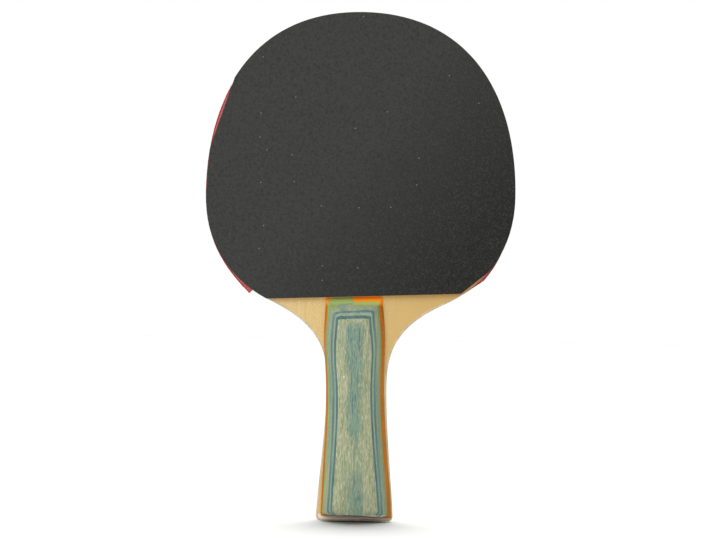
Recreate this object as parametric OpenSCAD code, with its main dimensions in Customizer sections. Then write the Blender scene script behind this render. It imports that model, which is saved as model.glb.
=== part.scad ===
// Table tennis paddle with a flared handle.
// A five-ply blade runs from the handle end to the tip of the head. Each face carries a glue
// film, a sponge and a pimples-in top sheet. Each side of the handle carries a scale that is
// glued up from dyed veneers and sanded round, so the veneers show as contour lines.
//
// Frame: +Z runs up the paddle, the forehand face looks along -Y, and y = 0 is the middle of
// the blade. The origin is the centre of the handle's end face.

/* [Blade] */
// Height of the blade from the handle end to the tip
blade_h = 244.6; // [240:0.2:258]
// Width of the blade's head at its widest
blade_w = 146.4; // [142:0.2:152]
// Height of the widest place of the head
widest_z = 158; // [154:1:162]
// Width of the tongue at its end
tongue_end_w = 37.2; // [32:0.2:40]
// Width of the tongue at the waist of the handle
waist_w = 28.9; // [26:0.1:30]
// Height of the waist of the handle
waist_z = 67; // [60:1:72]
// Thickness of each outer veneer
face_ply = 0.8; // [0.4:0.1:1.2]
// Thickness of each cross veneer
cross_ply = 1.2; // [0.8:0.1:1.6]
// Thickness of the core veneer
core_ply = 2.2; // [1.6:0.1:4]

/* [Rubber] */
// Height from the handle end to the top of the rubbers
total_h = 246; // [246:0.2:260]
// Width of the rubbers, which stand a little proud of the blade
rubber_w = 149.8; // [149:0.2:156]
// Thickness of the glue film under each sponge
glue_t = 0.1; // [0.1:0.05:0.3]
// Thickness of each sponge
sponge_t = 1.5; // [0.8:0.1:2.2]
// Height of the pimples, which point inward
pimple_h = 0.9; // [0.6:0.1:1.2]
// Diameter of a pimple
pimple_d = 1.8; // [1.2:0.1:2.2]
// Distance between pimples in a row, wider than on the real sheet to keep their number down
pimple_pitch = 5.2; // [4.8:0.2:8]
// Thickness of the smooth skin over the pimples
skin_t = 0.7; // [0.4:0.1:1.2]
// Height of the forehand rubber's lower edge on the centre line
front_edge_z = 108.7; // [108.6:0.1:114]
// Slope of the forehand rubber's lower edge, in degrees
front_edge_tilt = 2.5; // [0:0.1:3]
// Height of the backhand rubber's lower edge on the centre line
back_edge_z = 112.2; // [111:0.1:114]
// Slope of the backhand rubber's lower edge, in degrees
back_edge_tilt = 0.3; // [0:0.1:1]
// How far the backhand rubber is glued off centre, toward -X
back_shift = 0.4; // [0:0.1:0.8]
// How far the backhand sponge stops short of its top sheet at the edge
back_sponge_inset = 0.8; // [0.2:0.1:1.2]

/* [Handle] */
// Thickness of the veneers in a scale, from the blade outward
veneer_t = [3, 0.7, 1.3, 0.6, 0.35, 0.45, 1.2, 0.25];
// Width of a scale at its end
scale_end_w = 34.3; // [30:0.1:35]
// Width of a scale at the waist
scale_waist_w = 28; // [25:0.1:28.4]
// Width of a scale where the forefinger rests
scale_finger_w = 29.5; // [28:0.1:30]
// Width of a scale at its top
scale_top_w = 27.5; // [26:0.1:29]
// Length over which the top end of a scale slopes down to the blade
ramp_l = 16.5; // [8:0.5:18]
// Height of the lower end of the forehand scale above the handle end
front_scale_z = 2.1; // [1.6:0.1:4]
// How far the forehand scale is glued off centre, toward -X
front_shift = 0.3; // [0:0.1:0.5]
// Angle at which the forehand scale is glued on, in degrees
front_skew = 1.55; // [0:0.05:2]
// Angle at which the backhand scale is glued on, in degrees
back_skew = 0.4; // [0:0.05:0.6]

/* [Hidden] */

// Depths, measured from the middle of the blade
core_y = core_ply / 2;
cross_y = core_y + cross_ply;
blade_y = cross_y + face_ply;
glue_y = blade_y + glue_t;
sponge_y = glue_y + sponge_t;
skin_y = sponge_y + pimple_h;
sheet_y = skin_y + skin_t;

// Colours of the veneers in a scale, from the blade outward
veneer_colours = ["#e0801c", "#94a75c", "#a9b896", "#5f7d76", "#94a895", "#5f7d76", "#aeb28b", "#7d9783"];

// Points along each curve of an outline
steps = 18;

// The tongue: radius of its corners, and how it narrows up to the waist
waist_x = waist_w / 2;
tongue_x = tongue_end_w / 2;
tongue_r = 2.4;
tongue_taper = [1.1, 22];
waist_pull = 23;

// Where the neck turns into the head, the slope of the edge there, and how far each curve
// follows that slope
shoulder = [42.7, 106];
shoulder_dir = [0.906, 0.423];
neck_pull = 21.9;
neck_rise = 19.6;
flank_pull = 15.8;

// The head: how far its sides run straight below and above the widest place, and how much of
// its width the tip is flat over
side_below = 29.5;
side_above = 50;
tip_flat = 0.68;

// Points along one cubic curve, without its last point
function curve(p, n) = [for (i = [0:n - 1]) let (t = i / n, u = 1 - t)
    u * u * u * p[0] + 3 * u * u * t * p[1] + 3 * u * t * t * p[2] + t * t * t * p[3]];

// One side of a head, w wide and h high, from a start point on its lower flank up to the tip
function head_side(start, start_pull, w, h) = let (x = w / 2) concat(
    curve([start, start_pull, [x, widest_z - side_below], [x, widest_z]], steps),
    curve([[x, widest_z], [x, widest_z + side_above], [x * tip_flat, h], [0, h]], 2 * steps),
    [[0, h]]);

// One side of the tongue and the neck, from the handle end up to the shoulder
function neck_side() = concat(
    [for (a = [-90:15:-15]) [tongue_x - tongue_r + tongue_r * cos(a), tongue_r + tongue_r * sin(a)]],
    curve([[tongue_x, tongue_r], [tongue_x - tongue_taper[0], tongue_taper[1]],
        [waist_x, waist_z - waist_pull], [waist_x, waist_z]], steps),
    curve([[waist_x, waist_z], [waist_x, waist_z + neck_rise], shoulder - neck_pull * shoulder_dir,
        shoulder], steps));

// A closed outline from its right side and its left side mirrored
function joined(right, left) = concat(right,
    [for (i = [len(left) - 1:-1:0]) if (left[i][0] > 0) [-left[i][0], left[i][1]]]);
function both_sides(side) = joined(side, side);

shoulder_pull = shoulder + flank_pull * shoulder_dir;
blade_side = concat(neck_side(), head_side(shoulder, shoulder_pull, blade_w, blade_h));
front_side = head_side(shoulder, shoulder_pull, rubber_w, total_h);

// The backhand rubber is cut wide of the blade. Its left flank runs down to a square corner, and
// its right flank is cut straight from a bend down to a blunt one.
back_corner = [52.8, 109.1];
back_corner_l = 7;
back_flank_angle = 43;
back_flank_start = [-4, -4.3];
back_flank_pull = [6, 6.5];
back_bend = [61.35, 117.3];
back_bend_pull = [65.2, 121.9];
back_bend_below = 24;
back_cut_end = [49, 108.8];
function back_left(inset) = head_side(back_corner + back_flank_start - [inset, 0],
    back_corner + back_flank_pull - [inset, 0], rubber_w - 2 * inset, total_h - inset);
function back_right(inset) = let (x = rubber_w / 2 - inset) concat([back_cut_end - [inset, 0]],
    curve([back_bend - [inset, 0], back_bend_pull - [inset, 0], [x, widest_z - back_bend_below],
        [x, widest_z]], steps),
    [for (p = back_left(inset)) if (p[1] >= widest_z) p]);

// A flat shape drawn in X and Z, given a depth along Y
module slab(y0, y1) translate([0, y1, 0]) rotate([90, 0, 0]) linear_extrude(height = y1 - y0) children();

module blade_outline() polygon(both_sides(blade_side));

// The space above a rubber's lower edge
module above(z, tilt) translate([0, z]) rotate(tilt) translate([-rubber_w, 0])
    square([2 * rubber_w, total_h]);

// The forehand rubber's straight trims: a point on the cut and the cut's angle
upper_trim = [-74.1, 176.5];
upper_trim_angle = 71.3;
lower_trim = [49.9, 111.2];
lower_trim_angle = 39.3;
trim_l = 80;

module trim(point, angle, side) translate(point) rotate(angle)
    translate([-trim_l / 4, min(0, side * trim_l / 4)]) square([trim_l, trim_l / 4]);

// The forehand rubber, trimmed straight across the upper left and across the lower right corner
module front_outline() difference() {
    intersection() {
        polygon(both_sides(front_side));
        above(front_edge_z, front_edge_tilt);
    }
    trim(upper_trim, upper_trim_angle, 1);
    trim(lower_trim, lower_trim_angle, -1);
}

// The backhand rubber, with a corner left on each lower flank
module back_outline(inset = 0) translate([-back_shift, 0]) intersection() {
    polygon(joined(back_right(inset), back_left(inset)));
    union() {
        above(back_edge_z, back_edge_tilt);
        for (side = [0, 1]) mirror([side, 0])
            translate(back_corner) rotate(180 - back_flank_angle)
                translate([0, -back_corner_l]) square(back_corner_l);
    }
}

// Half width of the head at a height, for the pimples
head_table = [for (p = front_side) [p[1], p[0]]];
pimple_margin = pimple_d / 2 + 2.8; // keeps the pimples clear of the trims
row_pitch = pimple_pitch * sqrt(3) / 2;
rows = ceil(total_h / row_pitch);
row_pimples = ceil(rubber_w / 2 / pimple_pitch);

function clear_of_edge(x, z, edge_z, tilt) =
    z > edge_z + x * tan(tilt) + pimple_margin && z < total_h - pimple_margin
    && abs(x) < lookup(z + sign(z - widest_z) * pimple_margin / 2, head_table) - pimple_margin;

module pimples(y0, y1, edge_z, tilt) for (row = [0:rows]) for (i = [-row_pimples:row_pimples]) {
    x = (i + (row % 2) / 2) * pimple_pitch;
    z = row * row_pitch;
    if (clear_of_edge(x, z, edge_z, tilt))
        translate([x, y1, z]) rotate([90, 0, 0]) cylinder(h = y1 - y0, d = pimple_d, $fn = 24);
}

module blade_core_ply() color("#d8bd86") slab(-core_y, core_y) blade_outline();
module blade_front_cross_ply() color("#c9a970") slab(-cross_y, -core_y) blade_outline();
module blade_back_cross_ply() color("#c9a970") slab(core_y, cross_y) blade_outline();
module blade_front_face_ply() color("#dfbf7e") slab(-blade_y, -cross_y) blade_outline();
module blade_back_face_ply() color("#dfbf7e") slab(cross_y, blade_y) blade_outline();

module front_glue_film() color("#e6dcc0") slab(-glue_y, -blade_y) front_outline();
module front_sponge() color("#e3a04a") slab(-sponge_y, -glue_y) front_outline();
module front_top_sheet() color("#3c3c39") union() {
    slab(-sheet_y, -skin_y) front_outline();
    pimples(-skin_y, -sponge_y, front_edge_z, front_edge_tilt);
}

module back_glue_film() color("#e6dcc0") slab(blade_y, glue_y) back_outline(back_sponge_inset);
module back_sponge() color("#c06866") slab(glue_y, sponge_y) back_outline(back_sponge_inset);
module back_top_sheet() color("#b3262a") union() {
    slab(skin_y, sheet_y) back_outline();
    pimples(sponge_y, skin_y, back_edge_z, back_edge_tilt);
}

// Heights in a scale at which one veneer ends and the next begins
function total(list, n) = n == 0 ? 0 : list[n - 1] + total(list, n - 1);
veneer_top = [for (i = [0:len(veneer_t)]) total(veneer_t, i)];
scale_t = veneer_top[len(veneer_t)];
// The round of a scale would meet in a sharp ridge this high above the blade
ridge_h = scale_t + 0.1;
// Height at which a scale's angle is set, and the gap between a scale and its rubber
scale_pivot_z = 46;
rubber_gap = 0.3;
front_scale_l = front_edge_z - rubber_gap - front_scale_z;
back_scale_l = back_edge_z - rubber_gap;
// How far each scale leans to -X from its foot, because its sides were sanded unevenly
front_lean = 0.45;
back_lean = 0.2;
// Slope of the forehand scale's lower end
front_end_slope = -0.05;

// How square the sides and the ends are: a higher power keeps the wall upright for longer
side_power = 1.7;
end_power = 1;
// Length over which the lower end is rounded, and the radius of the corners at the foot
end_round_l = 1.6;
corner_r = 0.6;
corner_growth = 0.35;

// How far the sanded surface has fallen in from a scale's edge at height h, from 0 to 1
function fall(h, power) = 1 - sqrt(1 - pow(h / ridge_h, power));

// Shares of a scale's length at which the waist and the finger place lie
waist_share = 0.6;
finger_share = 0.82;
end_taper = 1.8;

// One side of a scale's outline, as [half width, share of the length]
scale_side = concat(
    curve([[scale_end_w, 0], [scale_end_w - end_taper, 0.19], [scale_waist_w, 0.38],
        [scale_waist_w, waist_share]], 8),
    curve([[scale_waist_w, waist_share], [scale_waist_w, 0.69], [scale_finger_w, 0.74],
        [scale_finger_w, finger_share]], 5),
    curve([[scale_finger_w, finger_share], [scale_finger_w, 0.9], [scale_top_w, 0.95], [scale_top_w, 1]], 4),
    [[scale_top_w, 1]]) / 2;

// One side of a scale's contour at height h: a corner, the long side and another corner.
// Each entry of ends is [slope of the lower end, slope of the upper end].
function contour(h, length, side, ends, lean) =
    let (inset = scale_waist_w / 2 * fall(h, side_power),
         z0 = end_round_l * fall(h, end_power),
         z1 = length - ramp_l * fall(h, end_power),
         r = min(corner_r + corner_growth * inset, (scale_top_w / 2 - inset) * 0.8),
         last = len(scale_side) - 1,
         shift = -lean * min(1, h / veneer_t[0]),
         low = [for (a = [-90:30:-30]) [scale_side[0][0] - inset - r + r * cos(a), z0 + r + r * sin(a)]],
         mid = [for (i = [0:last]) [scale_side[i][0] - inset,
                z0 + r + (z1 - z0 - 2 * r) * scale_side[i][1] * 2]],
         high = [for (a = [30:30:90]) [scale_side[last][0] - inset - r + r * cos(a), z1 - r + r * sin(a)]])
    [for (p = concat(low, mid, high)) let (x = side * p[0] + shift, share = p[1] / length)
        [x, p[1] + x * (ends[0] * (1 - share) + ends[1] * share)]];

// Thickest layer between two contours of a veneer
layer_t = 0.5;

// The part of a scale between two heights above the blade, built from the contours between them
module veneer(n, length, ends, lean) {
    h0 = veneer_top[n];
    h1 = veneer_top[n + 1];
    layers = max(1, round(veneer_t[n] / layer_t));
    m = len(contour(0, length, 1, ends, 0));
    ring = 2 * m;
    points = [for (k = [0:layers]) let (h = h0 + (h1 - h0) * k / layers)
        each concat([for (p = contour(h, length, 1, ends, lean)) [p[0], -h, p[1]]],
            [for (i = [m - 1:-1:0]) let (p = contour(h, length, -1, ends, lean)[i]) [p[0], -h, p[1]]])];
    walls = [for (k = [0:layers - 1]) for (i = [0:ring - 1])
        let (a = k * ring + i, b = k * ring + (i + 1) % ring)
            each [[a, a + ring, b], [b, a + ring, b + ring]]];
    base = [for (i = [0:m - 2]) let (a = i, b = i + 1, c = ring - 2 - i, d = ring - 1 - i)
        each [[a, b, d], [b, c, d]]];
    top = layers * ring;
    lid = [for (f = base) [top + f[0], top + f[2], top + f[1]]];
    polyhedron(points, concat(walls, base, lid));
}

module front_veneer(n) color(veneer_colours[n])
    translate([-front_shift, -blade_y, scale_pivot_z]) rotate([0, -front_skew, 0])
        translate([0, 0, front_scale_z - scale_pivot_z])
            veneer(n, front_scale_l, [front_end_slope, tan(front_edge_tilt - front_skew)], front_lean);

module back_veneer(n) color(veneer_colours[n])
    translate([0, blade_y, scale_pivot_z]) rotate([0, back_skew, 0])
        translate([0, 0, -scale_pivot_z]) mirror([0, 1, 0])
            veneer(n, back_scale_l, [tan(back_skew), tan(back_edge_tilt + back_skew)], back_lean);

module front_scale_orange_veneer() front_veneer(0);
module front_scale_green_veneer() front_veneer(1);
module front_scale_sage_veneer() front_veneer(2);
module front_scale_lower_teal_veneer() front_veneer(3);
module front_scale_mist_veneer() front_veneer(4);
module front_scale_upper_teal_veneer() front_veneer(5);
module front_scale_crown_veneer() front_veneer(6);
module front_scale_ridge_veneer() front_veneer(7);

module back_scale_orange_veneer() back_veneer(0);
module back_scale_green_veneer() back_veneer(1);
module back_scale_sage_veneer() back_veneer(2);
module back_scale_lower_teal_veneer() back_veneer(3);
module back_scale_mist_veneer() back_veneer(4);
module back_scale_upper_teal_veneer() back_veneer(5);
module back_scale_crown_veneer() back_veneer(6);
module back_scale_ridge_veneer() back_veneer(7);

blade_core_ply();
blade_front_cross_ply();
blade_back_cross_ply();
blade_front_face_ply();
blade_back_face_ply();
front_glue_film();
front_sponge();
front_top_sheet();
back_glue_film();
back_sponge();
back_top_sheet();
front_scale_orange_veneer();
front_scale_green_veneer();
front_scale_sage_veneer();
front_scale_lower_teal_veneer();
front_scale_mist_veneer();
front_scale_upper_teal_veneer();
front_scale_crown_veneer();
front_scale_ridge_veneer();
back_scale_orange_veneer();
back_scale_green_veneer();
back_scale_sage_veneer();
back_scale_lower_teal_veneer();
back_scale_mist_veneer();
back_scale_upper_teal_veneer();
back_scale_crown_veneer();
back_scale_ridge_veneer();
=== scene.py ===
"""The looks of a table tennis paddle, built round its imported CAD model.

Everything is in metres in the CAD frame: +Z runs up the paddle, the forehand face looks along -Y,
y = 0 is the middle of the blade, and the origin is the centre of the handle's end face.
"""

import logging
import math
from dataclasses import dataclass, field
from enum import Enum

import bmesh
import bpy
import numpy as np
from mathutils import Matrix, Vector, noise
from mathutils.geometry import tessellate_polygon


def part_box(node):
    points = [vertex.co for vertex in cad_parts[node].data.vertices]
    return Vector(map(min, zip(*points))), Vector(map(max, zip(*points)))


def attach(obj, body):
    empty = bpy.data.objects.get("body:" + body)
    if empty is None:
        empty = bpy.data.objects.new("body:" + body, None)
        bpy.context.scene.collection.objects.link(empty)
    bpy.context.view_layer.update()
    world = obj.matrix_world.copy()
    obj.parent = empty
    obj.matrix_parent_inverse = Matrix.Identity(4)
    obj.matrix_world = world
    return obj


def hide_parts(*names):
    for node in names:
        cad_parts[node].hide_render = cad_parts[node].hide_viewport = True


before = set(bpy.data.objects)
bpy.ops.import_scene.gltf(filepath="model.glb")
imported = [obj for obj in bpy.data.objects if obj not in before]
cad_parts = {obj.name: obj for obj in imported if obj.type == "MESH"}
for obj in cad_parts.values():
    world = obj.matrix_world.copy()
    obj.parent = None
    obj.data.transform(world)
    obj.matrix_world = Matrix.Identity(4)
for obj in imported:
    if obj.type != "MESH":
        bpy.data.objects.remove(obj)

Tree = bpy.types.NodeTree
Socket = bpy.types.NodeSocket

MM = 0.001
ROOT = "root"
LOG = logging.getLogger("paddle")


class Side(Enum):
    """The two faces of the paddle, as the sign of the Y direction that each looks along."""

    FOREHAND = -1
    BACKHAND = 1

    @property
    def prefix(self) -> str:
        """How the CAD node names of this side begin."""
        return "front" if self is Side.FOREHAND else "back"


# ---------------------------------------------------------------- colours and shader nodes


def linear(code: str) -> tuple[float, float, float, float]:
    """Turns an sRGB hex colour into the linear colour that shaders take.

    Args:
        code: The colour as "#rrggbb".

    Returns:
        Linear red, green and blue, and an alpha of 1.
    """
    channels = [int(code[i : i + 2], 16) / 255 for i in (1, 3, 5)]
    bright = [c / 12.92 if c <= 0.04045 else ((c + 0.055) / 1.055) ** 2.4 for c in channels]
    return (*bright, 1.0)


def add(tree: Tree, kind: str, inputs: dict | None = None, **settings: object) -> bpy.types.Node:
    """Adds one shader node.

    Args:
        tree: The material's node tree.
        kind: The node type, without its "ShaderNode" prefix.
        inputs: Input sockets by name or number. A socket given as a value is linked.
        settings: The node's own properties.

    Returns:
        The new node.
    """
    made = tree.nodes.new("ShaderNode" + kind)
    for name, value in settings.items():
        setattr(made, name, value)
    for key, value in (inputs or {}).items():
        if isinstance(value, Socket):
            tree.links.new(value, made.inputs[key])
        else:
            made.inputs[key].default_value = value
    return made


Paint = dict[str, object]


@dataclass(frozen=True)
class Finish:
    """A named material with one Principled shader, painted by its subclass."""

    name: str
    roughness: float = 0.6
    specular: float = 0.5
    ior: float = 1.5

    def paint(self, tree: Tree, place: Socket) -> Paint:
        """Makes the nodes of this finish.

        Args:
            tree: The material's node tree.
            place: The point being shaded, in metres in the CAD frame.

        Returns:
            What goes into the shader's sockets, by socket name.
        """
        raise NotImplementedError

    def material(self) -> bpy.types.Material:
        """The Blender material of this finish, made once."""
        found = bpy.data.materials.get(self.name)
        if found:
            return found
        made = bpy.data.materials.new(self.name)
        made.use_nodes = True
        tree = made.node_tree
        tree.nodes.clear()
        place = add(tree, "TexCoord").outputs["Object"]
        sockets = {"Roughness": self.roughness, "Specular IOR Level": self.specular, "IOR": self.ior}
        shader = add(tree, "BsdfPrincipled", sockets | self.paint(tree, place))
        add(tree, "OutputMaterial", {"Surface": shader.outputs[0]})
        return made

    @staticmethod
    def layered(tree: Tree, base: str | Socket, layers: list[tuple[Socket, str]]) -> Socket:
        """Lays shades over a base colour, one after another.

        Args:
            tree: The material's node tree.
            base: The colour below, as sRGB hex or as a socket.
            layers: The share and the shade of each layer, the lowest first.

        Returns:
            The colour that results.
        """
        colour = linear(base) if isinstance(base, str) else base
        for share, shade in layers:
            mixed = add(tree, "Mix", {0: share, 6: colour, 7: linear(shade)}, data_type="RGBA")
            colour = mixed.outputs[2]
        return colour

    @staticmethod
    def pattern(
        tree: Tree, place: Socket, size: tuple[float, float, float], shift: float = 0.0,
        detail: float = 3.0,
    ) -> Socket:
        """Noise whose patches have a real size.

        Args:
            tree: The material's node tree.
            place: The point being shaded.
            size: Size of a patch along X, Y and Z, in metres.
            shift: Moves the pattern, so that two patterns differ.
            detail: How many finer layers of noise are added.

        Returns:
            The noise, from 0 to 1.
        """
        stretched = add(tree, "VectorMath", {0: place, 1: tuple(1 / s for s in size), 2: (shift,) * 3},
                        operation="MULTIPLY_ADD")
        noisy = add(tree, "TexNoise", {"Vector": stretched.outputs[0], "Scale": 1.0, "Detail": detail})
        return noisy.outputs[0]


# the lower end of the forehand side, rubbed bare: its colour, its strength, the heights where it
# begins and is full, how far the fibres shift those, and how far forward a point must be to be rubbed
WORN = "#e8dfd4"
WORN_SHARE = 0.8
WORN_HEIGHTS = (5.0 * MM, 4.3 * MM)
WORN_RAGGED = 2.6 * MM
WORN_FRONT = (-2.2 * MM, -2.5 * MM)


def worn_end(tree: Tree, place: Socket, fibres: Socket) -> Socket:
    """Where the lower end of the forehand side is rubbed bare and grey, with a ragged upper limit.

    Args:
        tree: The material's node tree.
        place: The point being shaded.
        fibres: The veneer's fibre noise, which breaks the line up.

    Returns:
        The share of worn wood, from 0 to 1.
    """
    apart = add(tree, "SeparateXYZ", {0: place})
    ragged = add(tree, "Math", {0: fibres, 1: WORN_RAGGED, 2: apart.outputs[2]}, operation="MULTIPLY_ADD")
    low = add(tree, "MapRange", {0: ragged.outputs[0], 1: WORN_HEIGHTS[0], 2: WORN_HEIGHTS[1], 4: WORN_SHARE})
    front = add(tree, "MapRange", {0: apart.outputs[1], 1: WORN_FRONT[0], 2: WORN_FRONT[1]})
    return add(tree, "Math", {0: low.outputs[0], 1: front.outputs[0]}, operation="MULTIPLY").outputs[0]


@dataclass(frozen=True)
class Nick:
    """A small dent that shows bare or dirty wood: its place, its radius and its colour."""

    x: float
    z: float
    radius: float
    colour: str


@dataclass(frozen=True)
class SandedVeneer(Finish):
    """Rotary-cut veneer, sanded and oiled: straight fibres run up the paddle, so the eye sees fine
    vertical streaks, short dark pores and here and there a pale speck of sanding dust. It may be
    painted darker toward +X as painted shade, painted brighter at its upper end as painted light,
    and be worn at its lower end."""

    base: str = "#d8bd86"
    streak: str = "#c9a970"
    pale: str = "#e6cfa0"
    fibre: tuple[float, float] = (0.45 * MM, 16 * MM)
    contrast: float = 0.5
    pores: float = 0.25
    specks: float = 0.15
    worn: bool = False
    # painted shade: darker toward +X, growing from the first X of the span to the second
    drift: float = 0.0
    drift_x: tuple[float, float] = (-20 * MM, 30 * MM)
    # painted light: the upper end, from the first height to the second, is brighter than the shaded sides
    painted_light_top: str = ""
    painted_light_top_z: tuple[float, float] = (104 * MM, 105.5 * MM)
    pore_colour: str = "#4c4438"
    speck_colour: str = "#f0e2cf"
    roughness: float = 0.62
    specular: float = 0.3

    def paint(self, tree: Tree, place: Socket) -> Paint:
        """Mixes streaks, pores and specks into the base colour.

        Args:
            tree: The material's node tree.
            place: The point being shaded.

        Returns:
            What goes into the shader's sockets, by socket name.
        """
        width, length = self.fibre
        shift = float(sum(map(ord, self.name)) % 97)
        fibres = self.pattern(tree, place, (width, width, length), shift, 4.0)
        bands = self.pattern(tree, place, (6 * width, 6 * width, 3 * length), shift + 5, 2.0)
        streaks = add(tree, "Math", {0: fibres, 1: bands}, operation="ADD").outputs[0]
        dark = add(tree, "MapRange", {0: streaks, 1: 0.98, 2: 0.78, 4: self.contrast}).outputs[0]
        light = add(tree, "MapRange", {0: streaks, 1: 1.02, 2: 1.22, 4: self.contrast}).outputs[0]
        pore = self.pattern(tree, place, (0.22 * MM, 0.22 * MM, 2.6 * MM), shift + 11, 1.0)
        pore = add(tree, "MapRange", {0: pore, 1: 0.66, 2: 0.74, 4: self.pores}).outputs[0]
        speck = self.pattern(tree, place, (0.5 * MM,) * 3, shift + 23, 0.0)
        speck = add(tree, "MapRange", {0: speck, 1: 0.66, 2: 0.72, 4: self.specks}).outputs[0]
        layers = [(dark, self.streak), (light, self.pale), (pore, self.pore_colour),
                  (speck, self.speck_colour)]
        apart = add(tree, "SeparateXYZ", {0: place})
        # painted shade: the streak colour laid over toward +X
        if self.drift:
            start, full = self.drift_x
            tan = add(tree, "MapRange", {0: apart.outputs[0], 1: start, 2: full, 4: self.drift})
            layers.append((tan.outputs[0], self.streak))
        # painted light: brighter colour at the upper end
        if self.painted_light_top:
            start, full = self.painted_light_top_z
            new = add(tree, "MapRange", {0: apart.outputs[2], 1: start, 2: full, 4: 0.9})
            layers.append((new.outputs[0], self.painted_light_top))
        if self.worn:
            layers.append((worn_end(tree, place, fibres), WORN))
        colour = self.layered(tree, self.base, layers)
        rough = add(tree, "MapRange", {0: fibres, 1: 0.3, 2: 0.7, 3: self.roughness - 0.07,
                                       4: self.roughness + 0.08})
        height = add(tree, "Math", {0: fibres, 1: pore}, operation="SUBTRACT")
        bump = add(tree, "Bump", {"Strength": 0.35, "Distance": 0.04 * MM, "Height": height.outputs[0]})
        return {"Base Color": colour, "Roughness": rough.outputs[0], "Normal": bump.outputs[0]}


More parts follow.
